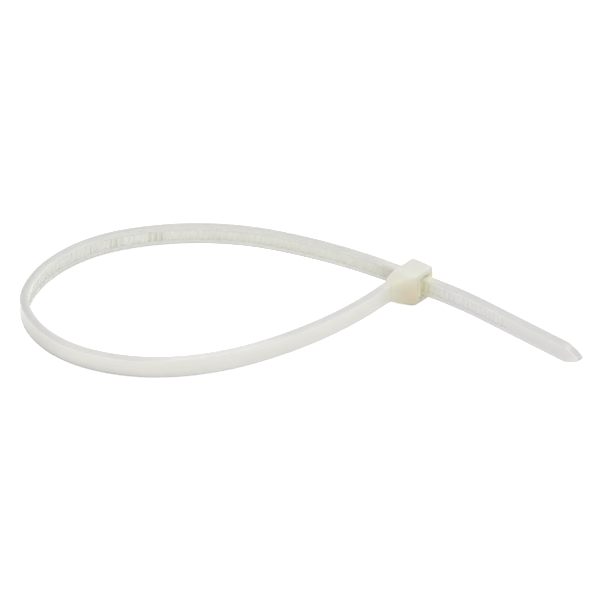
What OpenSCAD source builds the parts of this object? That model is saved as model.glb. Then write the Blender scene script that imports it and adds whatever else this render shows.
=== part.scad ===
// Cable tie, closed into a loop and lying on its edge.
// One moulding: the strap leaves the head, goes round, and comes back out through the head.
// Inside the loop the strap carries a sunk track of ratchet teeth between two plain rails.
// All lengths are in millimetres and all angles in degrees.

/* [Strap] */
// Length of the strap from the head to the tip
strap_length = 150; // [146:0.5:156]
// Width of the strap, across its flat face
strap_width = 2.5; // [2.4:0.05:2.6]
// Thickness of the strap, measured over the rails
strap_thickness = 1.1; // [1.0:0.05:1.2]

/* [Tooth track] */
// Distance from one tooth to the next
tooth_pitch = 0.75; // [0.7:0.05:0.9]
// Height of a tooth
tooth_depth = 0.34; // [0.28:0.02:0.38]
// How far the tooth crests lie below the rails
crest_drop = 0.06; // [0.04:0.01:0.1]
// Flat land along the crest of a tooth
crest_land = 0.14; // [0.1:0.02:0.2]
// How far the locking face of a tooth leans back
tooth_lean = 0.06; // [0.02:0.02:0.1]
// Width of the toothed track between the rails
track_width = 1.3; // [1.2:0.05:1.4]
// Least plain strap between the head and the first tooth
plain_root = 8; // [6:0.5:10]
// Least plain strap between the last tooth and the tip
plain_tip = 12; // [9:0.5:16]

/* [Loop] */
// Straight strap between the neck of the head and the first bend
root_straight = 2.3; // [1.5:0.1:3]
// Turn of the long shallow bend beside the neck
near_front_angle = 24; // [22:1:26]
// Radius of the front bend
front_radius = 27; // [25:0.5:29]
// Turn of the front bend
front_angle = 20; // [18:1:22]
// Radius of the bend at the front corner
front_corner_radius = 20; // [18.5:0.5:21.5]
// Turn of the bend at the front corner
front_corner_angle = 32; // [30:1:34]
// Radius of the bend that leads into the far end
far_end_radius = 15.3; // [14.3:0.1:16.3]
// Turn of the bend that leads into the far end
far_end_angle = 55.5; // [53.5:0.5:57.5]
// Radius of the tightest bend, at the far end
tight_radius = 8; // [7.4:0.1:9]
// Turn of the tightest bend
tight_angle = 19; // [17:1:21]
// Radius of the bend that leads out of the far end
back_corner_radius = 17.8; // [16.8:0.1:18.8]
// Turn of the bend that leads out of the far end
back_corner_angle = 62.5; // [60.5:0.5:64.5]
// Radius of the back bend
back_radius = 29.4; // [27.4:0.2:31.4]
// Turn of the back bend
back_angle = 38; // [36:1:40]
// Straight strap between the last bend and the middle of the head
entry_straight = 3; // [2.4:0.1:3.6]
// How far the strap lies out of square in the window
window_lean = 4; // [3:0.5:4.5]

/* [Tail] */
// Straight strap between the middle of the head and the bend in the tail
exit_straight = 3; // [2.6:0.1:4]
// Radius of the slight bend in the tail
tail_radius = 61; // [50:1:75]
// Turn of the slight bend in the tail
tail_angle = 7.9; // [6:0.1:9]
// Length of the pointed tip
tip_length = 2.4; // [2:0.1:2.8]
// Width left at the blunt end of the tip
tip_width = 0.5; // [0.4:0.1:0.8]

/* [Head] */
// Width of the head, the way the strap is wide
head_width = 4.3; // [4.1:0.05:4.5]
// Size of the head along the window, without its inner step
head_depth = 3.3; // [3.2:0.05:3.5]
// Height of the head's inner face above the inner face of its own strap
head_step = 0.18; // [0.1:0.02:0.24]
// Head beyond the middle of the window, on the side away from its own strap
head_free = 1.75; // [1.65:0.05:1.95]
// Head beyond the middle of the window, on the side of its own strap
head_root = 1.7; // [1.65:0.05:1.9]
// Radius on the corners of the head
head_corner_radius = 0.35; // [0.25:0.05:0.45]
// Length of the neck that ramps up from the strap to the head
neck_length = 2.5; // [2.1:0.1:2.9]
// Heading of the strap where it runs into the head, seen from above
head_heading = 50; // [45:1:55]
// Gap between the strap and the walls of the window
window_gap = 0.1; // [0.08:0.01:0.14]
// Length of the narrow part of the window, where the strap goes in
window_collar = 0.8; // [0.7:0.05:0.95]

/* [Pawl] */
// Number of teeth on the pawl
pawl_teeth = 3; // [2:1:3]
// How far past the middle of the window the last tooth of the pawl locks
pawl_reach = 0.95; // [0.85:0.05:1.1]
// Gap between the teeth of the pawl and the teeth of the strap
pawl_gap = 0.06; // [0.05:0.01:0.08]
// Thickness of the pawl behind its teeth
pawl_thickness = 0.36; // [0.3:0.02:0.4]
// Length of the pawl's nose, past its last tooth
pawl_nose = 0.35; // [0.2:0.05:0.4]
// How far the pawl's nose stands back from its teeth
pawl_nose_step = 0.1; // [0.06:0.02:0.14]
// Height of the pawl where it springs from the head
pawl_root = 0.3; // [0.24:0.02:0.36]
// Size of the fillet under the root of the pawl
pawl_fillet = 0.08; // [0.05:0.01:0.1]
// Drop over which the back of the pawl comes away from the wall
pawl_drop = 0.75; // [0.65:0.05:0.85]
// Free space behind the pawl
pawl_relief = 0.28; // [0.24:0.02:0.3]
// Gap between each side of the pawl and the rail or wall beside it
pawl_side_gap = 0.1; // [0.08:0.01:0.14]

/* [Lying at rest] */
// Direction in which the loop leans down from the head, seen from above
rest_heading = 207; // [203:1:211]

/* [Hidden] */
$fa = 2;
$fs = 0.12;
half_strap = strap_thickness / 2;
join_margin = 0.35;
// How far one form runs into the next, so that the two make one solid.
overlap = 0.1;
// Every second stretch of the strap is thicker by this much on each face, so that
// two stretches always meet in a clean edge and never in a sliver of rounding error.
joint_step = 0.001;
half_head = head_depth / 2;
head_inner = half_head + head_step;
root_offset = half_head - half_strap;
turn_total = 270 - window_lean;
turn_named = near_front_angle + front_angle + front_corner_angle + far_end_angle
    + tight_angle + back_corner_angle + back_angle;
near_back_angle = turn_total - turn_named;

// A stretch of the strap is [0, length] where it is straight and [radius, turn] where it bends.
// A place on the strap is [x, y, heading], in the frame of the head.
function stretch_length(g) = g[0] == 0 ? g[1] : g[0] * g[1] * PI / 180;
function bend_centre(p, r) = [p[0] + r * sin(p[2]), p[1] - r * cos(p[2])];
function bend_place(c, r, h) = [c[0] - r * sin(h), c[1] + r * cos(h), h];
function go_straight(p, l) = [p[0] + l * cos(p[2]), p[1] + l * sin(p[2]), p[2]];
function go_round(p, r, turn) = bend_place(bend_centre(p, r), r, p[2] - turn);
function go(p, g, l) = g[0] == 0 ? go_straight(p, l) : go_round(p, g[0], l / g[0] * 180 / PI);
function follow(p, g, i = 0) =
    i == len(g) ? [p] : concat([p], follow(go(p, g[i], stretch_length(g[i])), g, i + 1));
function running(g, i = 0, sum = 0) =
    i == len(g) ? [sum] : concat([sum], running(g, i + 1, sum + stretch_length(g[i])));

// The shallow bends on both sides of the head take the radii that close the loop.
bends = [
    [front_radius, front_angle],
    [front_corner_radius, front_corner_angle],
    [far_end_radius, far_end_angle],
    [tight_radius, tight_angle],
    [back_corner_radius, back_corner_angle],
    [back_radius, back_angle]
];
neck_start = [-head_root, root_offset, 180];
bends_start = go_straight(neck_start, neck_length + root_straight);
near_front_unit = go_round([0, 0, 180], 1, near_front_angle);
bends_end = follow([0, 0, near_front_unit[2]], bends)[len(bends)];
near_back_unit = go_round([0, 0, bends_end[2]], 1, near_back_angle);
entry = go_straight([0, 0, near_back_unit[2]], entry_straight);
gap_x = -(bends_start[0] + bends_end[0] + entry[0]);
gap_y = -(bends_start[1] + bends_end[1] + entry[1]);
cross_units = near_front_unit[0] * near_back_unit[1] - near_front_unit[1] * near_back_unit[0];
near_front_radius = (gap_x * near_back_unit[1] - gap_y * near_back_unit[0]) / cross_units;
near_back_radius = (near_front_unit[0] * gap_y - near_front_unit[1] * gap_x) / cross_units;

loop = concat(
    [[0, neck_length + root_straight], [near_front_radius, near_front_angle]],
    bends,
    [[near_back_radius, near_back_angle], [0, entry_straight]]
);
loop_length = running(loop)[len(loop)];
tail_bend = [tail_radius, tail_angle];
tail_straight = strap_length - loop_length - exit_straight - stretch_length(tail_bend);
stretches = concat(loop, [[0, exit_straight], tail_bend, [0, tail_straight]]);
places = follow(neck_start, stretches);
travel = running(stretches);

function stretch_of(s, i = 0) =
    i == len(stretches) - 1 || s < travel[i + 1] ? i : stretch_of(s, i + 1);
function place_at(s) =
    let (i = stretch_of(s))
    go(places[i], stretches[i], s - travel[i]);
// Point beside place p, to its left where off is positive: that is the outer side of the loop.
function beside(p, off) = [p[0] - off * sin(p[2]), p[1] + off * cos(p[2])];
// Point on the strap at travel s, sunk by the given depth below its inner face.
function sunk(s, depth) = beside(place_at(s), depth - half_strap);

// The teeth are placed so that the pawl rests in mesh, its last tooth pawl_reach past the middle.
valley = crest_drop + tooth_depth;
last_meshed = floor((loop_length + pawl_reach - plain_root) / tooth_pitch);
first_meshed = last_meshed - pawl_teeth + 1;
track_start = loop_length + pawl_reach - last_meshed * tooth_pitch;
tooth_count = floor((strap_length - plain_tip - track_start) / tooth_pitch);
function tooth_at(i) = track_start + i * tooth_pitch;
track_line = [
    for (i = [0 : tooth_count - 1]) each [
        sunk(tooth_at(i), valley),
        sunk(tooth_at(i) + tooth_lean, crest_drop),
        sunk(tooth_at(i) + tooth_lean + crest_land, crest_drop)
    ]
];
track_margin = 0.3;
track_back = [for (i = [tooth_count : -1 : 0]) sunk(tooth_at(i), -track_margin)];
track_outline = concat(track_line, [sunk(tooth_at(tooth_count), valley)], track_back);

// The pawl's teeth sit in the valleys of the strap. Behind them it is a plate, which is
// as wide as the window and stands clear of the rails.
pawl_base = -pawl_gap;
pawl_tip = tooth_at(last_meshed) - pawl_gap + tooth_lean;
pawl_line = [
    for (i = [0 : pawl_teeth - 1])
        let (s = tooth_at(first_meshed + i))
        each [
            sunk(s - tooth_pitch + tooth_lean + crest_land - pawl_gap / 2, pawl_base),
            sunk(s - pawl_gap, valley - pawl_gap),
            sunk(s - pawl_gap + tooth_lean, pawl_base)
        ]
];
window_half = half_strap / cos(window_lean) + head_inner * tan(window_lean) + window_gap;
window_width = strap_width + 2 * window_gap;
relief_x = -(half_strap + pawl_gap + pawl_thickness + pawl_relief);
relief_top = half_head - window_collar;
pawl_width = track_width - 2 * pawl_side_gap;
plate_width = window_width - 2 * pawl_side_gap;
pawl_seat = pawl_base - pawl_nose_step - overlap;
pawl_seat_line = [
    sunk(pawl_tip, pawl_seat),
    sunk(tooth_at(first_meshed) - tooth_pitch / 2, pawl_seat)
];
pawl_face = -window_half + window_gap / 2;
pawl_end = pawl_tip + pawl_nose;
pawl_body = [
    [relief_x - overlap, relief_top + overlap],
    [pawl_face, relief_top + overlap],
    [pawl_face, relief_top - pawl_root / 2]
];
pawl_back = [
    sunk(pawl_tip + pawl_nose_step, pawl_base - pawl_nose_step),
    sunk(pawl_end, pawl_base - pawl_nose_step),
    sunk(pawl_end, pawl_base - pawl_thickness),
    [relief_x + pawl_relief, relief_top - pawl_drop],
    [relief_x + pawl_fillet, relief_top - pawl_root - pawl_fillet],
    [relief_x - overlap, relief_top - pawl_root]
];

// Lying on its edge, the tie touches the ground at the head and at the far end of the loop.
function turned(p, a) = [p[0] * cos(a) - p[1] * sin(a), p[0] * sin(a) + p[1] * cos(a)];
edge_line = [
    for (s = [0 : 0.25 : strap_length])
        let (p = sunk(s, strap_thickness))
        turned(p, head_heading)
];
inner_line = [
    for (s = [0 : 0.25 : strap_length])
        let (p = sunk(s, 0))
        turned(p, head_heading)
];
head_foot = turned([-head_root - head_corner_radius, head_inner - head_corner_radius], head_heading);
foot_reach = turned(head_foot, -rest_heading)[0];
far_reach = max([for (p = edge_line) turned(p, -rest_heading)[0]]);
rest_lean = atan((head_width - strap_width) / 2 / (far_reach - foot_reach));
rest_height = foot_reach * sin(rest_lean) + head_width / 2 * cos(rest_lean);
function lean_point(p) =
    let (q = turned(p, -rest_heading))
    turned([q[0] * cos(rest_lean), q[1]], rest_heading);
outline = [for (p = concat(edge_line, inner_line)) lean_point(p)];
middle_x = (min([for (p = outline) p[0]]) + max([for (p = outline) p[0]])) / 2;
middle_y = (min([for (p = outline) p[1]]) + max([for (p = outline) p[1]])) / 2;

// Rectangle with round corners, its middle at the origin.
module round_rectangle(x, y, r) {
    square([x - 2 * r, y], center = true);
    square([x, y - 2 * r], center = true);
    for (i = [-1, 1]) {
        for (j = [-1, 1]) {
            translate([i * (x / 2 - r), j * (y / 2 - r)]) circle(r);
        }
    }
}

// Straight stretch of the strap, seen from above and kept between places p and q.
module straight_plan(p, q, half) {
    before = go_straight(p, -join_margin);
    after = go_straight(q, join_margin);
    intersection() {
        polygon([
            beside(before, -half), beside(after, -half),
            beside(after, half), beside(before, half)
        ]);
        polygon([
            beside(p, -half_strap - join_margin), beside(q, -half_strap - join_margin),
            beside(q, half_strap + join_margin), beside(p, half_strap + join_margin)
        ]);
    }
}

// Bent stretch of the strap, seen from above: a ring, kept between places p and q.
module bend_plan(p, q, r, turn, half) {
    steps = 8;
    c = bend_centre(p, r);
    between = [for (i = [1 : steps - 1]) go_round(p, r, turn * i / steps)];
    line = concat([p], between, [q]);
    intersection() {
        difference() {
            translate(c) circle(r + half, $fn = 240);
            translate(c) circle(r - half, $fn = 240);
        }
        polygon(concat(
            [for (i = [0 : steps]) beside(line[i], -half_strap - join_margin)],
            [for (i = [steps : -1 : 0]) beside(line[i], half_strap + join_margin)]
        ));
    }
}

// Patch inside the strap that ties the two stretches that meet at place p.
module joint_plan(p) {
    before = go_straight(p, -join_margin / 2);
    after = go_straight(p, join_margin / 2);
    inset = half_strap - join_margin / 2;
    polygon([
        beside(before, -inset), beside(after, -inset),
        beside(after, inset), beside(before, inset)
    ]);
}

// Whole strap, seen from above, its root sunk into the head.
module strap_plan() {
    straight_plan(go_straight(neck_start, -join_margin), places[1], half_strap);
    for (i = [1 : len(stretches) - 1]) {
        half = half_strap + (i % 2) * joint_step;
        r = stretches[i][0];
        joint_plan(places[i]);
        if (r == 0) straight_plan(places[i], places[i + 1], half);
        if (r > 0) bend_plan(places[i], places[i + 1], r, stretches[i][1], half);
    }
}

// Whole strap with plain faces.
module strap_body() {
    linear_extrude(strap_width, center = true) strap_plan();
}

// What is cut away for the sunk track, leaving the teeth.
module track_cut() {
    linear_extrude(track_width, center = true) polygon(track_outline);
}

// Half the width of the tip, at the given distance from its end.
function tip_side(d) =
    strap_width / 2 - (strap_width - tip_width) / 2 * pow(1 - d / tip_length, 1.7);

// What is cut away on both sides of the tip, which comes to a blunt point in a curve.
module tip_cut() {
    steps = 7;
    p = places[len(places) - 1];
    curve = [for (i = [steps : -1 : 0]) let (d = tip_length * i / steps) [-d, tip_side(d)]];
    translate([p[0], p[1], 0])
        rotate([90, 0, p[2]])
            linear_extrude(2 * strap_thickness, center = true) {
                for (i = [0, 1]) {
                    mirror([0, i])
                        polygon(concat(curve, [
                            [1, tip_width / 2],
                            [1, strap_width],
                            [-tip_length, strap_width]
                        ]));
                }
            }
}

// Head seen from above: a block, and the neck that ramps up to it from the strap.
module head_plan() {
    translate([(head_free - head_root) / 2, (head_inner - half_head) / 2])
        round_rectangle(head_free + head_root, head_inner + half_head, head_corner_radius);
    polygon([
        [-head_root - neck_length, root_offset - half_strap + overlap],
        [-head_root, -half_head],
        [-head_root + head_corner_radius, -half_head],
        [-head_root + head_corner_radius, head_inner],
        [-head_root - neck_length / 2, head_inner],
        [-head_root - neck_length, root_offset + half_strap - overlap]
    ]);
}

// Head seen from its side: the neck flares out from the strap's width to the head's.
module head_side() {
    trim = 0.02;
    flare = neck_length - head_corner_radius;
    translate([(head_free - head_root) / 2, 0])
        round_rectangle(head_free + head_root + 2 * trim, head_width + 2 * trim,
            head_corner_radius);
    polygon([
        [-head_root - neck_length, -strap_width / 2 + overlap],
        [-head_root - neck_length + flare, -head_width / 2 - trim],
        [-head_root + head_corner_radius, -head_width / 2 - trim],
        [-head_root + head_corner_radius, head_width / 2 + trim],
        [-head_root - neck_length + flare, head_width / 2 + trim],
        [-head_root - neck_length, strap_width / 2 - overlap]
    ]);
}

// Head seen along its own strap.
module head_end() {
    trim = 0.02;
    translate([(head_inner - half_head) / 2, 0])
        round_rectangle(head_inner + half_head + 2 * trim, head_width + 2 * trim,
            head_corner_radius);
}

// Solid head with its neck, before the window is cut.
module head_body() {
    intersection() {
        linear_extrude(head_width, center = true) head_plan();
        rotate([90, 0, 0]) linear_extrude(4 * head_depth, center = true) head_side();
        rotate([90, 0, 90]) linear_extrude(6 * head_depth, center = true) head_end();
    }
}

// Window for the strap, and the space in which the pawl can bend back.
module window_cut() {
    cube([2 * window_half, 3 * head_depth, window_width], center = true);
    translate([relief_x, -2 * head_depth, -window_width / 2])
        cube([-relief_x, 2 * head_depth + relief_top, window_width]);
}

// Pawl: a springy plate, held at the entry of the window, with teeth that face the strap.
module pawl() {
    linear_extrude(plate_width, center = true) polygon(concat(pawl_body, pawl_back));
    linear_extrude(pawl_width, center = true) polygon(concat(pawl_line, pawl_seat_line));
}

// The whole tie with the middle of its window at the origin.
module tie_level() {
    difference() {
        strap_body();
        track_cut();
        tip_cut();
    }
    difference() {
        head_body();
        window_cut();
    }
    pawl();
}

// The tie as it lies: turned, leaned down on its far end and moved to the ground.
module cable_tie() {
    color([0.87, 0.87, 0.84])
        translate([-middle_x, -middle_y, rest_height])
            rotate([0, 0, rest_heading])
                rotate([0, rest_lean, 0])
                    rotate([0, 0, head_heading - rest_heading])
                        tie_level();
}

cable_tie();
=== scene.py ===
"""Dresses the cable tie: one moulded piece of natural nylon, closed into a loop.

The tie is modelled straight, as it comes out of the mould, and then bent along its loop.
Lengths are in millimetres until the finished mesh is scaled to metres.
On the straight moulding, x runs along the strap and is 0 in the middle of the window.
y goes from the smooth face to the toothed face, and z across the strap's width.
Travel is the distance from the neck's root along the strap, towards the tip.
"""

import math

import bmesh
import bpy
from mathutils import Matrix, Vector


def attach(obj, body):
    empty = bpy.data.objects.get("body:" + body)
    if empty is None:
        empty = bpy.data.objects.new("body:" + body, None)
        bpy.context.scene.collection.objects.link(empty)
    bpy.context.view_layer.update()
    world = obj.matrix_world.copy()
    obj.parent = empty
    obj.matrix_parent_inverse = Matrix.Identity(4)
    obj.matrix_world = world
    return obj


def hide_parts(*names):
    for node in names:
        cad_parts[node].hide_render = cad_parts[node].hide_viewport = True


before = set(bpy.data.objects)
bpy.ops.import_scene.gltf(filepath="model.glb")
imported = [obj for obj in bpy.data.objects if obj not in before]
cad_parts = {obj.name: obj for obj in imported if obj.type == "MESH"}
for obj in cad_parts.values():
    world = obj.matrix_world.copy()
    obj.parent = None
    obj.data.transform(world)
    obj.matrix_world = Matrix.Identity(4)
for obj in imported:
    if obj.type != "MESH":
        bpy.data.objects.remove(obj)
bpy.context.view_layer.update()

MM = 0.001

# The strap and its teeth, as the CAD part has them.

STRAP_LENGTH = 149.8
HALF_STRAP = 0.55  # half the thickness
STRAP_SIDE = 1.25  # half the width
EDGE_INNER = 0.09  # rounding beside the teeth
EDGE_OUTER = 0.13  # rounding on the smooth face
CORNER_STEPS = 5
PLAIN_STEP = 0.5  # between the sections of a plain stretch

TOOTH_PITCH = 0.75
TRACK_START = 8.4158
TOOTH_COUNT = 172
VALLEY = 0.40
CREST = 0.06
TRACK_SIDE = 0.65
TRACK_DRAFT = 0.03
TRACK_MARGIN = 0.02
LEAST_TRACK = 0.05
RAIL_LIP = 0.05
TRACK_LEAD = 0.4  # plain strap before the first tooth, left to the track's own sections
# Sections of one tooth and of the track's two ends: distance, and depth below the rails.
TOOTH = (
    (0.0, VALLEY),
    (0.045, CREST + 0.075),
    (0.062, CREST + 0.018),
    (0.095, CREST),
    (0.185, CREST),
    (0.235, CREST + 0.018),
    (0.70, VALLEY - 0.02),
)
TRACK_ENTRY = ((-0.04, 0.0), (-0.01, RAIL_LIP))
TRACK_EXIT = ((0.0, VALLEY), (0.02, RAIL_LIP), (0.06, 0.0))

TIP_LENGTH = 2.4
TIP_SIDE = 0.25
TIP_CURVE = 1.3
TIP_ROUND = 0.12
TIP_LEAD = 0.3
TIP_ENTRY = 0.1
TIP_STEPS = 10
ROUND_STEPS = 6  # sections round a rounded end

# The head and the neck.

HALF_HEAD = 1.65
HEAD_INNER = 1.83
HEAD_SIDE = 2.15
HEAD_FREE = 1.75
HEAD_ROOT = 1.7
HEAD_ROUND = 0.38
NECK_LENGTH = 2.4  # the outer ramp starts here
NECK_FLARE = 2.4  # the side ramps start here
FLARE_END = 0.3  # and end here
SWELL_POWER = 1.12
LEAST_HEAD_ROUND = 0.02
LEAST_STRAP_ROUND = 0.01
HEAD_STATIONS = (-2.2, -1.5, -0.8)
NECK_FROM = -0.4
NECK_STEP = 0.2
NECK_STEPS = 17
HEAD_TO_STRAP = 3.0  # where the head's mesh meets the strap's

STRAP_MIDDLE = HALF_HEAD - HALF_STRAP

# The window and the pawl.

WINDOW_X = 0.779
WINDOW_Z = 1.35
WINDOW_ROUND = 0.12
WINDOW_STEPS = 3
WINDOW_REACH = 3.0
RELIEF_X = -1.25
RELIEF_TOP = 0.85
EXIT_FLARE = 0.05
ENTRY_FLARE = 0.2
# Sections of the window: place through the head, far wall, and how far the mouth is flared.
WINDOW_LEVELS = (
    (-WINDOW_REACH, RELIEF_X, EXIT_FLARE),
    (-HALF_HEAD - 0.02, RELIEF_X, EXIT_FLARE),
    (-HALF_HEAD + EXIT_FLARE, RELIEF_X, 0.0),
    (RELIEF_TOP, RELIEF_X, 0.0),
    (RELIEF_TOP + 0.04, -WINDOW_X, 0.0),
    (HEAD_INNER - ENTRY_FLARE, -WINDOW_X, 0.0),
    (HEAD_INNER + 0.02, -WINDOW_X, ENTRY_FLARE),
    (WINDOW_REACH, -WINDOW_X, ENTRY_FLARE),
)

LAST_MESHED = 153
PAWL_TEETH = 3
PAWL_SIDE = 0.55
PAWL_GAP = 0.06
PAWL_CREST = 0.2  # where a tooth starts, after the strap's crest
PAWL_BACK = 0.06
PAWL_SEAT = 0.2  # the teeth reach this far into the plate
PLATE_SIDE = 1.25
PLATE_THICKNESS = 0.36
PLATE_NOSE = 0.35
PLATE_BEVEL = 0.05
PLATE_CORNER = 0.06
PLATE_FRONT = 0.1  # the plate's front lies this far behind the gap
PLATE_SEAT = 0.1  # the plate reaches this far into the walls
PLATE_WEB = 0.05
PLATE_WEB_DROP = 0.15
PLATE_ROOT = 0.3
PLATE_FILLET = (0.08, 0.38)
PLATE_BACK = (0.28, 0.75)

# The loop, from the neck to the tip: radius and turn of each bend, or 0 and a length.
STRETCHES = (
    (0.0, 4.8),
    (48.057, 24.0),
    (27.0, 20.0),
    (20.0, 32.0),
    (15.3, 55.5),
    (8.0, 19.0),
    (17.8, 62.5),
    (29.4, 38.0),
    (66.0882, 15.0),
    (0.0, 6.0),
    (61.0, 7.9),
    (0.0, 16.3735),
)
HEAD_HEADING = 50.0
REST_HEADING = 207.0
REST_LEAN = 1.14058
MIDDLE_X = -14.3235
MIDDLE_Y = -3.65806
REST_HEIGHT = 2.19865

MERGED = 1e-5  # points this close become one
JOINED = 1e-4  # also where the head meets the strap
SHARP_ANGLE = 32.0


# The loop.


def go(place, radius, amount):
    """Place and heading after a bend of that radius and turn, or a straight of that length."""
    x, y, heading = place
    if radius == 0:
        return x + amount * math.cos(heading), y + amount * math.sin(heading), heading
    turned = heading - math.radians(amount)
    return (
        x + radius * (math.sin(heading) - math.sin(turned)),
        y - radius * (math.cos(heading) - math.cos(turned)),
        turned,
    )


def place_at(travel):
    """Place and heading of the strap's middle line at that travel."""
    place = (-HEAD_ROOT, STRAP_MIDDLE, math.pi)
    for radius, amount in STRETCHES:
        length = amount if radius == 0 else radius * math.radians(amount)
        if travel <= length:
            return go(place, radius, travel if radius == 0 else math.degrees(travel / radius))
        place = go(place, radius, amount)
        travel -= length
    return go(place, 0, travel)


def beside(travel, off):
    """Point that far to the toothed side of the middle line, seen from above."""
    x, y, heading = place_at(travel)
    return x - off * math.sin(heading), y + off * math.cos(heading)


def bent(point):
    """Where a point of the straight moulding lies on the finished loop."""
    travel = -HEAD_ROOT - point.x
    if travel <= 0:
        return point.copy()
    return Vector((*beside(travel, STRAP_MIDDLE - point.y), point.z))


# The moulding's skin.


def corner(y, z, radius, way, first):
    """Points round one corner of a section, from its flat face to its side, or back."""
    points = []
    for i in range(CORNER_STEPS + 1):
        turn = math.radians(90 * i / CORNER_STEPS)
        points.append((
            y - way * radius * (1 - math.cos(turn)),
            z - radius * (1 - math.sin(turn)),
        ))
    return points if first else points[::-1]


def section(inner, outer, side, round_in, round_out, depth=0.0, track=TRACK_SIDE):
    """Outline of the moulding across its length: from the middle of the toothed face, all round."""
    half = [
        (inner - depth, 0.0),
        (inner - depth, 0.5 * track),
        (inner - depth, track - TRACK_DRAFT),
        (inner - min(depth, RAIL_LIP), track),
        (inner, track + RAIL_LIP),
    ]
    half += corner(inner, side, round_in, 1, True)
    half.append((0.5 * (inner + outer), side))
    half += corner(outer, side, round_out, -1, False)
    half += [(outer, 0.5 * side), (outer, 0.0)]
    mirrored = [(y, -z) for y, z in half[-2:0:-1]]
    return half + mirrored


def within(value):
    """The value, kept between 0 and 1."""
    return min(max(value, 0.0), 1.0)


def ease(value):
    """From 0 to 1, gently at both ends."""
    value = within(value)
    return value * value * (3 - 2 * value)


def swell(value):
    """From 0 to 1: rises at once and rounds off at the top."""
    return 1 - (1 - within(value)) ** SWELL_POWER


def drawn_in(beyond, radius):
    """How far a rounded end has drawn in, that far beyond the start of its rounding."""
    if beyond <= 0:
        return 0.0
    return radius - math.sqrt(max(radius ** 2 - beyond ** 2, 0.0))


def head_section(travel):
    """Section through the neck and the head; travel is below zero inside the head."""
    rise = swell((NECK_LENGTH - travel) / NECK_LENGTH)
    flare = swell((NECK_FLARE - travel) / (NECK_FLARE - FLARE_END))
    step = ease((NECK_LENGTH - travel) / (0.5 * NECK_LENGTH))
    inset = drawn_in(-travel - (HEAD_ROOT + HEAD_FREE - HEAD_ROUND), HEAD_ROUND)
    inner = HALF_HEAD + (HEAD_INNER - HALF_HEAD) * step
    outer = STRAP_MIDDLE - HALF_STRAP - (STRAP_MIDDLE - HALF_STRAP + HALF_HEAD) * rise
    side = STRAP_SIDE + (HEAD_SIDE - STRAP_SIDE) * flare
    round_in = EDGE_INNER + (HEAD_ROUND - EDGE_INNER) * flare
    round_out = EDGE_OUTER + (HEAD_ROUND - EDGE_OUTER) * flare
    return section(
        inner - inset,
        outer + inset,
        side - inset,
        max(round_in - inset, LEAST_HEAD_ROUND),
        max(round_out - inset, LEAST_HEAD_ROUND),
    )


def strap_section(travel, depth):
    """Section through the strap, with its track cut to that depth."""
    side = STRAP_SIDE
    tip_start = STRAP_LENGTH - TIP_LENGTH
    if travel > tip_start:
        side -= (STRAP_SIDE - TIP_SIDE) * ((travel - tip_start) / TIP_LENGTH) ** TIP_CURVE
    inset = drawn_in(travel - (STRAP_LENGTH - TIP_ROUND), TIP_ROUND)
    track = min(TRACK_SIDE, side - EDGE_OUTER - RAIL_LIP - TRACK_MARGIN)
    return section(
        STRAP_MIDDLE + HALF_STRAP - inset,
        STRAP_MIDDLE - HALF_STRAP + inset,
        side - inset,
        max(EDGE_INNER - inset, LEAST_STRAP_ROUND),
        max(EDGE_OUTER - inset, LEAST_STRAP_ROUND),
        depth,
        max(track, LEAST_TRACK),
    )


def sheet_as_tube(bm, rows):
    """Rolls a grid up into a tube through the given sections, each with its place along x."""
    across = len(rows[0][1])
    bmesh.ops.create_grid(bm, x_segments=len(rows) - 1, y_segments=across, size=1.0)
    for vert in bm.verts:
        i = round((vert.co.x + 1) / 2 * (len(rows) - 1))
        j = round((vert.co.y + 1) / 2 * across) % across
        x, outline = rows[i]
        vert.co = (x, *outline[j])
    bmesh.ops.remove_doubles(bm, verts=bm.verts, dist=MERGED)


def close_ends(bm):
    """Puts a face on each open end."""
    rims = [edge for edge in bm.edges if edge.is_boundary]
    bmesh.ops.holes_fill(bm, edges=rims, sides=0)
    bmesh.ops.recalc_face_normals(bm, faces=bm.faces)


def head_rows():
    """Sections from the head's free end to the joint with the strap."""
    rounded = HEAD_ROOT + HEAD_FREE - HEAD_ROUND
    travels = []
    for i in range(ROUND_STEPS + 1):
        turn = math.radians(90 - 90 * i / ROUND_STEPS)
        travels.append(-rounded - HEAD_ROUND * math.sin(turn))
    travels += HEAD_STATIONS
    travels += [NECK_FROM + NECK_STEP * i for i in range(NECK_STEPS + 1)]
    return [(-HEAD_ROOT - travel, head_section(travel)) for travel in travels]


def plain_stations(travel, end):
    """Even stations along a stretch without teeth."""
    stations = []
    while travel < end:
        stations.append((travel, 0.0))
        travel += PLAIN_STEP
    return stations


def strap_rows():
    """Sections from the joint with the head to the end of the tip."""
    track_end = TRACK_START + TOOTH_COUNT * TOOTH_PITCH
    tip_start = STRAP_LENGTH - TIP_LENGTH
    taper = TIP_LENGTH - TIP_ROUND
    stations = plain_stations(HEAD_TO_STRAP, TRACK_START - TRACK_LEAD)
    stations += [(TRACK_START + off, depth) for off, depth in TRACK_ENTRY]
    for i in range(TOOTH_COUNT):
        stations += [(TRACK_START + i * TOOTH_PITCH + off, depth) for off, depth in TOOTH]
    stations += [(track_end + off, depth) for off, depth in TRACK_EXIT]
    stations += plain_stations(track_end + PLAIN_STEP, tip_start - TIP_LEAD)
    stations += [(tip_start - TIP_ENTRY, 0.0), (tip_start, 0.0)]
    stations += [(tip_start + taper * i / TIP_STEPS, 0.0) for i in range(1, TIP_STEPS)]
    for i in range(ROUND_STEPS + 1):
        turn = math.radians(90 * i / ROUND_STEPS)
        stations.append((STRAP_LENGTH - TIP_ROUND + TIP_ROUND * math.sin(turn), 0.0))
    return [(-HEAD_ROOT - travel, strap_section(travel, depth)) for travel, depth in stations]


# The window and the pawl.


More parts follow.
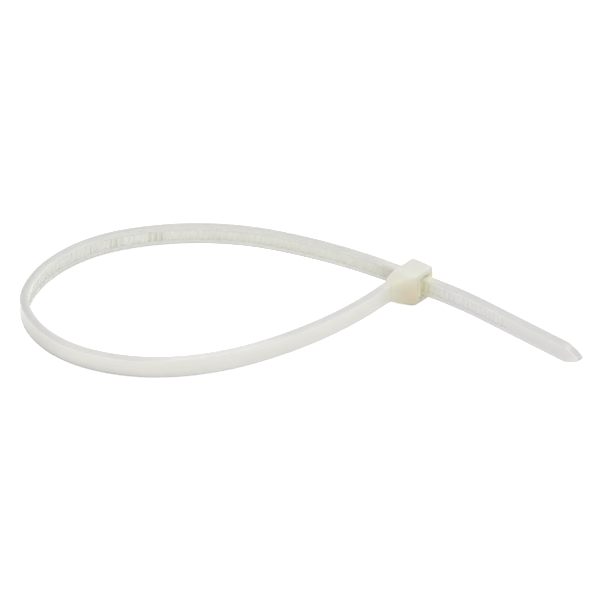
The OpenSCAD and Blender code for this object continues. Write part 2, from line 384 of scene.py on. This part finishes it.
def new_object(name, bm):
    """An object in the scene with that mesh."""
    mesh = bpy.data.meshes.new(name)
    bm.to_mesh(mesh)
    bm.free()
    piece = bpy.data.objects.new(name, mesh)
    bpy.context.scene.collection.objects.link(piece)
    return piece


def window_outline(x_low, x_high, z_side):
    """Rectangle with round corners, as the window's wall runs round the strap."""
    points = []
    for number, (x_way, z_way) in enumerate(((1, 1), (-1, 1), (-1, -1), (1, -1))):
        x = (x_high if x_way > 0 else x_low) - x_way * WINDOW_ROUND
        z = z_way * (z_side - WINDOW_ROUND)
        for i in range(WINDOW_STEPS + 1):
            turn = math.radians(90 * (number + i / WINDOW_STEPS))
            points.append((
                x + WINDOW_ROUND * math.cos(turn),
                z + WINDOW_ROUND * math.sin(turn),
            ))
    return points


def window_cutter():
    """What is cut out of the head: the window, its flared mouths and the room behind the pawl."""
    rows = [
        (y, window_outline(x_low - flare, WINDOW_X + flare, WINDOW_Z + flare))
        for y, x_low, flare in WINDOW_LEVELS
    ]
    bm = bmesh.new()
    sheet_as_tube(bm, rows)
    for vert in bm.verts:
        vert.co.xy = vert.co.yx
    close_ends(bm)
    return new_object("window_cutter", bm)


def strap_point(travel, depth):
    """Point in the window, at that travel and depth below the toothed face of the strap."""
    return beside(travel, depth - HALF_STRAP)


def tooth_outline():
    """The pawl's teeth, seen from above, closed by a line inside the plate."""
    points = []
    first = TRACK_START + (LAST_MESHED - PAWL_TEETH + 1) * TOOTH_PITCH
    for i in range(PAWL_TEETH):
        start = first + i * TOOTH_PITCH
        points.append(strap_point(start - TOOTH_PITCH + PAWL_CREST - PAWL_GAP / 2, -PAWL_GAP))
        points.append(strap_point(start - PAWL_GAP, VALLEY - PAWL_GAP))
        points.append(strap_point(start - PAWL_GAP + PAWL_BACK, -PAWL_GAP))
    points.append(strap_point(start, -PAWL_GAP - PAWL_SEAT))
    points.append(strap_point(first - TOOTH_PITCH / 2, -PAWL_GAP - PAWL_SEAT))
    return points


def plate_outline():
    """The springy plate that carries the teeth, from its root in the wall to its nose."""
    last = TRACK_START + LAST_MESHED * TOOTH_PITCH
    end = last + PLATE_NOSE
    front = -PAWL_GAP - PLATE_FRONT
    back = -PAWL_GAP - PLATE_THICKNESS
    web_x = -WINDOW_X + PLATE_WEB
    return [
        (RELIEF_X - PLATE_SEAT, RELIEF_TOP + PLATE_SEAT),
        (web_x, RELIEF_TOP + PLATE_SEAT),
        (web_x, RELIEF_TOP - PLATE_WEB_DROP),
        strap_point(last + PLATE_FRONT, front),
        strap_point(end - PLATE_BEVEL, front),
        strap_point(end, front - PLATE_BEVEL),
        strap_point(end, back + PLATE_CORNER),
        strap_point(end - PLATE_CORNER, back),
        (RELIEF_X + PLATE_BACK[0], RELIEF_TOP - PLATE_BACK[1]),
        (RELIEF_X + PLATE_FILLET[0], RELIEF_TOP - PLATE_FILLET[1]),
        (RELIEF_X - PLATE_SEAT, RELIEF_TOP - PLATE_ROOT),
    ]


def slab(name, outline, side):
    """An outline, seen from above, given its width."""
    bm = bmesh.new()
    rim = [bm.verts.new((x, y, -side)) for x, y in outline]
    base = bm.faces.new(rim)
    grown = bmesh.ops.extrude_face_region(bm, geom=[base], use_keep_orig=True)
    tops = [item for item in grown["geom"] if isinstance(item, bmesh.types.BMVert)]
    bmesh.ops.translate(bm, verts=tops, vec=(0, 0, 2 * side))
    bmesh.ops.recalc_face_normals(bm, faces=bm.faces)
    return new_object(name, bm)


def combine(piece, tool, operation):
    """Cuts the tool out of the piece, or joins it on, and removes the tool."""
    modifier = piece.modifiers.new("combine", "BOOLEAN")
    modifier.operation = operation
    modifier.solver = "EXACT"
    modifier.object = tool
    graph = bpy.context.evaluated_depsgraph_get()
    graph.update()
    result = bpy.data.meshes.new_from_object(piece.evaluated_get(graph))
    piece.modifiers.clear()
    piece.data = result
    bpy.data.objects.remove(tool)


def make_head():
    """The head and the neck, with the window cut and the pawl seated in it."""
    bm = bmesh.new()
    sheet_as_tube(bm, head_rows())
    close_ends(bm)
    head = new_object("head", bm)
    combine(head, window_cutter(), "DIFFERENCE")
    combine(head, slab("pawl_plate", plate_outline(), PLATE_SIDE), "UNION")
    combine(head, slab("pawl_teeth", tooth_outline(), PAWL_SIDE), "UNION")
    return head


# The whole tie.


def lying():
    """From the frame of the straight moulding's head to the frame of the part, in metres."""
    return (
        Matrix.Scale(MM, 4)
        @ Matrix.Translation((-MIDDLE_X, -MIDDLE_Y, REST_HEIGHT))
        @ Matrix.Rotation(math.radians(REST_HEADING), 4, "Z")
        @ Matrix.Rotation(math.radians(REST_LEAN), 4, "Y")
        @ Matrix.Rotation(math.radians(HEAD_HEADING - REST_HEADING), 4, "Z")
    )


def make_strap(bm):
    """The strap with its tip closed and its other end open towards the head."""
    sheet_as_tube(bm, strap_rows())
    tip_rim = [e for e in bm.edges if e.is_boundary and e.verts[0].co.x < -STRAP_LENGTH / 2]
    bmesh.ops.holes_fill(bm, edges=tip_rim, sides=0)


def add_head(bm):
    """Joins the head on, without the face between it and the strap."""
    head = make_head()
    bm.from_mesh(head.data)
    bpy.data.objects.remove(head)
    joint_x = -HEAD_ROOT - HEAD_TO_STRAP
    caps = [f for f in bm.faces if all(abs(v.co.x - joint_x) < JOINED for v in f.verts)]
    bmesh.ops.delete(bm, geom=caps, context="FACES_ONLY")
    bmesh.ops.remove_doubles(bm, verts=bm.verts, dist=JOINED)


def make_tie():
    """The whole moulding, bent along its loop; each point keeps its place in the mould."""
    bm = bmesh.new()
    make_strap(bm)
    add_head(bm)
    moulded = bm.verts.layers.float_vector.new("moulded")
    for vert in bm.verts:
        vert[moulded] = vert.co
        vert.co = bent(vert.co)
    bmesh.ops.transform(bm, matrix=lying(), verts=bm.verts)
    bmesh.ops.recalc_face_normals(bm, faces=bm.faces)
    for face in bm.faces:
        face.smooth = True
    for edge in bm.edges:
        edge.smooth = edge.is_manifold and edge.calc_face_angle() < math.radians(SHARP_ANGLE)
    return new_object("nylon_tie", bm)


tie = make_tie()
weighted = tie.modifiers.new("even_shading", "WEIGHTED_NORMAL")
weighted.keep_sharp = True
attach(tie, "root")
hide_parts("cable_tie")


# Finishes.


class Level:
    """A socket's value over a surface, for use in plain arithmetic."""

    def __init__(self, finish, socket):
        self.finish = finish
        self.socket = socket

    def maths(self, operation, other, swapped=False):
        first, second = (other, self) if swapped else (self, other)
        return self.finish.node("Math", {"operation": operation}, {0: first, 1: second})

    def __add__(self, other):
        return self.maths("ADD", other)

    __radd__ = __add__

    def __sub__(self, other):
        return self.maths("SUBTRACT", other)

    def __rsub__(self, other):
        return self.maths("SUBTRACT", other, swapped=True)

    def __mul__(self, other):
        return self.maths("MULTIPLY", other)

    __rmul__ = __mul__

    def larger(self, other):
        return self.maths("MAXIMUM", other)


class Finish:
    """A material, and the one way in which its nodes are added."""

    def __init__(self, name):
        self.material = bpy.data.materials.new(name)
        self.material.use_nodes = True
        self.tree = self.material.node_tree
        self.shader = self.tree.nodes["Principled BSDF"]

    def node(self, kind, settings=None, sockets=None, output=0):
        """Adds a node, with its settings first and then the values or links of its sockets."""
        made = self.tree.nodes.new("ShaderNode" + kind)
        for name, value in (settings or {}).items():
            setattr(made, name, value)
        for name, value in (sockets or {}).items():
            self.set(self.find(made.inputs, name), value)
        return Level(self, self.find(made.outputs, output))

    def find(self, sockets, name):
        if isinstance(name, int):
            return sockets[name]
        return next(s for s in sockets if name in (s.identifier, s.name))

    def set(self, socket, value):
        if isinstance(value, Level):
            self.tree.links.new(value.socket, socket)
        else:
            socket.default_value = value

    def shade(self, **sockets):
        """Sets or links the shader's own sockets."""
        for name, value in sockets.items():
            self.set(self.shader.inputs[name.replace("_", " ")], value)

    def ramp(self, value, low, high, start, end):
        """Runs smoothly from start to end while the value goes from low to high."""
        return self.node("MapRange", {"interpolation_type": "SMOOTHSTEP"}, {
            "Value": value, "From Min": low, "From Max": high, "To Min": start, "To Max": end})

    def rise(self, value, low, high):
        return self.ramp(value, low, high, 0.0, 1.0)

    def fall(self, value, low, high):
        return self.ramp(value, low, high, 1.0, 0.0)

    def band(self, value, low, high, soft):
        """1 while the value lies between low and high, with soft ends inside them."""
        return self.rise(value, low, low + soft) * self.fall(value, high - soft, high)

    def blend(self, mask, under, over):
        """Colour that goes from one to the other with the mask."""
        return self.node("Mix", {"data_type": "RGBA"}, {
            "Factor_Float": mask, "A_Color": under, "B_Color": over}, "Result_Color")

    def toned(self, colour, tone):
        """The colour, made darker or lighter by the tone."""
        grey = self.node("CombineColor", sockets={0: tone, 1: tone, 2: tone})
        return self.node("Mix", {"data_type": "RGBA", "blend_type": "MULTIPLY"}, {
            "Factor_Float": 1.0, "A_Color": colour, "B_Color": grey}, "Result_Color")

    def axis(self, vector, letter):
        """One coordinate of a vector."""
        return self.node("SeparateXYZ", sockets={0: vector}, output=letter)

    def distance(self, vector, place):
        return self.node("VectorMath", {"operation": "DISTANCE"}, {0: vector, 1: place}, "Value")

    def stretched(self, vector, scale):
        return self.node("VectorMath", {"operation": "MULTIPLY"}, {0: vector, 1: scale})

    def noise(self, vector, size, detail=2.0, roughness=0.5):
        return self.node("TexNoise", {"normalize": True}, {
            "Vector": vector, "Scale": 1.0 / size, "Detail": detail, "Roughness": roughness})


# Colours of the nylon, from the strap over its parts to the head, with painted light and shade
# among them.

STRAP_COLOUR = (0.835, 0.825, 0.785, 1)
TAIL_COLOUR = (0.78, 0.765, 0.76, 1)
# Painted shade over the toothed half, as its teeth shade it.
INNER_SHADE_COLOUR = (0.775, 0.775, 0.725, 1)
# Painted shade on the upper rail, and a painted glint along the lower rail.
HIGH_RAIL_SHADE = (0.745, 0.745, 0.70, 1)
LOW_RAIL_GLINT = (0.82, 0.82, 0.77, 1)
# Painted light in the track and its valleys, which lifts the shade between the teeth.
TRACK_PAINTED_LIGHT = (0.82, 0.82, 0.765, 1)
VALLEY_PAINTED_LIGHT = (0.87, 0.87, 0.82, 1)
FAR_VALLEY_PAINTED_LIGHT = (0.96, 0.96, 0.91, 1)
TAIL_VALLEY_PAINTED_LIGHT = (0.87, 0.86, 0.85, 1)
# The strap's edges: a cooler tone, and painted shade that evens out the light on them.
COOL_RIM_AND_SHADE = (0.685, 0.68, 0.67, 1)
# Painted highlight on the edges of the front strap.
RIM_HIGHLIGHT = (0.77, 0.765, 0.75, 1)
# Painted shade on the edges of the far part of the loop.
FAR_RIM_SHADE = (0.65, 0.65, 0.635, 1)
TIP_COLOUR = (0.64, 0.63, 0.635, 1)
HEAD_COLOUR = (0.80, 0.785, 0.625, 1)
# Painted light: the head's top is paler, as if lit from above.
LIT_TOP_COLOUR = (0.785, 0.78, 0.72, 1)
COOL_COLOUR = (0.72, 0.71, 0.715, 1)
AMBER_COLOUR = (0.785, 0.705, 0.56, 1)
# Painted shadow along the head's bottom, where it meets the floor.
CONTACT_SHADE_COLOUR = (0.66, 0.64, 0.57, 1)
# Painted light and a painted glow inside the window, where its walls shade it.
WINDOW_PAINTED_LIGHT = (0.93, 0.92, 0.84, 1)
NO_GLOW = (0, 0, 0, 1)
WINDOW_PAINTED_GLOW = (0.91, 0.93, 0.84, 1)
PAINTED_GLOW_STRENGTH = 0.30

# Places on the finished loop, in metres: ranges, and the middles of the warm and amber nylon.

# Where the outer face at the far end of the loop gets painted shade.
FAR_END_SHADE_X = (-0.035, -0.028)
# Height where the painted light on the head's top begins.
LIT_TOP_Z = (0.0036, 0.0042)
# Height of the painted shadow at the head's bottom.
CONTACT_SHADE_Z = (0.0001, 0.0006)
WARM_PLACE = (0.01432, 0.00366, 0.00220)
WARM_REACH = (0.0018, 0.0068)
AMBER_PLACE = (0.0139, 0.0022, 0.0015)
AMBER_REACH = (0.0006, 0.0030)
COOL_REACH = (0.0030, 0.0048)

# Places along the straight moulding, in millimetres: from, to, and for a band its soft ends.

NECK_X = (-4.4, -4.0)
TOOTHED_X = (-139.3, -9.8, 0.3)
# Where the painted highlight lies on the strap's edges.
RIM_HIGHLIGHT_X = (-42.0, -20.0, 7.0)
FAR_RIM_X = (-80.0, -68.0)
FAR_BEND_X = (-96.0, -56.0, 10.0)
TAIL_X = (-129.0, -125.0)
TIP_X = (-150.4, -149.2)
INSIDE_X = (-1.20, 0.81, 0.02)
# Where the valleys go without their painted light, so their shade shows and the teeth show most.
# Middles and half widths.
SHADED_VALLEY_SPOTS = ((-79.4, 0.5), (-82.8, 0.9), (-88.2, 1.3))
SHADED_VALLEY_SOFT = 0.2

# Places through its thickness, from the smooth face at 0.55 to the rails at 1.65.

# How far the painted shade at the far end reaches through the thickness.
FAR_END_SHADE_Y = (0.7, 1.6)
INNER_Y = (0.9, 1.5)
TRACK_Y = (1.05, 1.15)
VALLEY_Y = (1.28, 1.60)
TIP_Y = (0.55, 1.65, 0.15)
INSIDE_Y = (-1.60, 1.60, 0.50)

# Places across its width, from the middle.

TRACK_Z = (0.62, 0.72)
GROOVE_Z = (0.70, 0.75)
RAIL_Z = (0.68, 0.78)
RIM_Z = (1.02, 1.24)
INSIDE_Z = (1.34, 1.37)


def natural_nylon():
    """Milky nylon: clouded and see-through where thin, warmer where the head is thick, with painted
    light and shade.
    """
    nylon = Finish("natural_nylon")
    place = nylon.node("TexCoord", output="Object")
    moulded = nylon.node("Attribute", {"attribute_name": "moulded"}, output="Vector")
    across = nylon.axis(place, "X")
    height = nylon.axis(place, "Z")
    along = nylon.axis(moulded, "X")
    deep = nylon.axis(moulded, "Y")
    upward = nylon.axis(moulded, "Z")
    side = upward.maths("ABSOLUTE", 0.0)
    from_warm = nylon.distance(place, WARM_PLACE)
    from_amber = nylon.distance(place, AMBER_PLACE)
    cloud = nylon.noise(nylon.stretched(moulded, (0.25, 0.8, 0.8)), 1.6, 3.0)
    flow = nylon.noise(nylon.stretched(moulded, (0.05, 1.0, 1.0)), 0.35, 2.0)
    grain = nylon.noise(moulded, 0.07, 3.0, 0.6)

    on_strap = nylon.fall(along, *NECK_X)
    on_head = 1 - on_strap
    tail = nylon.fall(along, *TAIL_X)
    inner = nylon.rise(deep, *INNER_Y) * on_strap * (1 - tail)
    cut = nylon.rise(deep, *TRACK_Y) * nylon.band(along, *TOOTHED_X)
    track = nylon.fall(side, *TRACK_Z) * cut
    valley = nylon.fall(side, *GROOVE_Z) * cut * nylon.fall(deep, *VALLEY_Y)
    # At these spots the valleys keep their shade, without painted light.
    for middle, reach in SHADED_VALLEY_SPOTS:
        valley = valley * (1 - nylon.band(along, middle - reach, middle + reach, SHADED_VALLEY_SOFT))
    rim = nylon.rise(side, *RIM_Z) * on_strap
    warm = nylon.fall(from_warm, *WARM_REACH) * (1 - tail)
    # Painted shade on the outer face at the far end of the loop.
    far_end_shade = nylon.fall(across, *FAR_END_SHADE_X) * nylon.fall(deep, *FAR_END_SHADE_Y)
    # Mask of the painted light and glow inside the window.
    inside = (
        nylon.fall(side, *INSIDE_Z)
        * nylon.band(deep, *INSIDE_Y)
        * nylon.band(along, *INSIDE_X)
    )
    layers = (
        (tail, TAIL_COLOUR),
        # Painted shade over the toothed half.
        (inner, INNER_SHADE_COLOUR),
        # Painted shade on the upper rail and a painted glint on the lower rail.
        (inner * nylon.rise(upward, *RAIL_Z), HIGH_RAIL_SHADE),
        (inner * nylon.fall(upward, -RAIL_Z[1], -RAIL_Z[0]), LOW_RAIL_GLINT),
        # Painted light in the track and its valleys, lifting the shade between the teeth.
        (track * (1 - tail), TRACK_PAINTED_LIGHT),
        (valley, VALLEY_PAINTED_LIGHT),
        (valley * nylon.band(along, *FAR_BEND_X), FAR_VALLEY_PAINTED_LIGHT),
        (valley * tail, TAIL_VALLEY_PAINTED_LIGHT),
        # Cooler tone and painted shade on the strap's edges.
        (rim, COOL_RIM_AND_SHADE),
        # Painted highlight on the front strap's edges.
        (rim * nylon.band(along, *RIM_HIGHLIGHT_X), RIM_HIGHLIGHT),
        # Painted shade on the far edges.
        (rim * nylon.fall(along, *FAR_RIM_X), FAR_RIM_SHADE),
        (nylon.fall(along, *TIP_X) * nylon.band(deep, *TIP_Y), TIP_COLOUR),
        (warm, HEAD_COLOUR),
        # Painted light on the head's top.
        (nylon.rise(height, *LIT_TOP_Z) * warm, LIT_TOP_COLOUR),
        (nylon.rise(from_amber, *COOL_REACH) * warm, COOL_COLOUR),
        (nylon.fall(from_amber, *AMBER_REACH) * on_head, AMBER_COLOUR),
        # Painted shadow at the head's bottom.
        (nylon.fall(height, *CONTACT_SHADE_Z) * on_head, CONTACT_SHADE_COLOUR),
        # Painted light inside the window.
        (inside, WINDOW_PAINTED_LIGHT),
    )
    colour = STRAP_COLOUR
    for mask, over in layers:
        colour = nylon.blend(mask, colour, over)
    # Random cloudiness in the tone, with painted shade at the far end of the loop.
    tone = 0.955 + cloud * 0.07 + flow * 0.02 - far_end_shade * 0.12

    nylon.shade(
        Base_Color=nylon.toned(colour, tone),
        Roughness=0.36 + cloud * 0.10 + grain * 0.08,
        Normal=nylon.node("Bump", sockets={
            "Height": grain * 0.35 + flow * 0.65, "Strength": 0.35, "Distance": 0.00002}),
        # Painted glow inside the window, standing in for daylight through its thin walls.
        Emission_Color=nylon.blend(inside, NO_GLOW, WINDOW_PAINTED_GLOW),
        Emission_Strength=PAINTED_GLOW_STRENGTH,
        IOR=1.5,
        Subsurface_Weight=1.0,
        Subsurface_Radius=(1.3, 1.3, 1.2),
        Subsurface_Scale=MM,
        Coat_Weight=0.25,
        Coat_Roughness=0.18,
    )
    return nylon.material


tie.data.materials.append(natural_nylon())


# Floor, light and camera.

FLOOR_HALF = 3.0
FLOOR_COLOUR = (0.92, 0.92, 0.92, 1)
FLOOR_GLOW = 0.65
WORLD_STRENGTH = 0.66
WHITE = (1, 1, 1, 1)


def seen_directly(finish):
    """1 for what the camera sees, straight, mirrored or through the object, and 0 for its light."""
    straight, mirrored, through = (
        finish.node("LightPath", output=ray)
        for ray in ("Is Camera Ray", "Is Glossy Ray", "Is Transmission Ray")
    )
    return straight.larger(mirrored).larger(through)


def make_floor():
    bm = bmesh.new()
    bmesh.ops.create_grid(bm, x_segments=1, y_segments=1, size=FLOOR_HALF)
    floor = new_object("floor", bm)
    white = Finish("white_floor")
    white.shade(
        Base_Color=FLOOR_COLOUR,
        Roughness=1.0,
        Specular_IOR_Level=0.0,
        Emission_Color=WHITE,
        Emission_Strength=seen_directly(white) * FLOOR_GLOW,
    )
    floor.data.materials.append(white.material)


def make_world():
    world = bpy.data.worlds.new("studio")
    world.use_nodes = True
    background = world.node_tree.nodes["Background"]
    background.inputs["Color"].default_value = WHITE
    background.inputs["Strength"].default_value = WORLD_STRENGTH
    bpy.context.scene.world = world


def softbox(name, place, size, energy):
    """A square lamp that looks at the middle of the tie."""
    light = bpy.data.lights.new(name, "AREA")
    light.size = size
    light.energy = energy
    lamp = bpy.data.objects.new(name, light)
    bpy.context.scene.collection.objects.link(lamp)
    lamp.location = place
    lamp.rotation_euler = (-Vector(place)).to_track_quat("-Z", "Y").to_euler()


make_floor()
make_world()
softbox("top_light", place=(0.10, 0.20, 0.6), size=0.4, energy=1.25)
softbox("front_light", place=(0.0, -0.8, 0.35), size=0.6, energy=0.65)

# The camera stands far off with a long lens, at the photograph's height above the table.

ELEVATION = math.radians(32.1)
AZIMUTH = math.radians(0.19)
ROLL = math.radians(0.18)
DISTANCE = 1.5
SEEN_WIDTH = 600 / 7.957 * MM
AIM = (-0.165, -0.770, 2.121)
FARTHEST_SEEN = 20.0


def make_camera():
    data = bpy.data.cameras.new("camera")
    data.lens = data.sensor_width * DISTANCE / SEEN_WIDTH
    data.clip_end = FARTHEST_SEEN
    camera = bpy.data.objects.new("camera", data)
    bpy.context.scene.collection.objects.link(camera)
    back = Vector((
        math.sin(AZIMUTH) * math.cos(ELEVATION),
        -math.cos(AZIMUTH) * math.cos(ELEVATION),
        math.sin(ELEVATION),
    ))
    turned = Matrix.Rotation(AZIMUTH, 3, "Z") @ Matrix.Rotation(math.pi / 2 - ELEVATION, 3, "X")
    camera.location = Vector(AIM) * MM + DISTANCE * back
    camera.rotation_euler = (turned @ Matrix.Rotation(ROLL, 3, "Z")).to_euler()
    bpy.context.scene.camera = camera


make_camera()
bpy.context.scene.view_settings.view_transform = "Standard"
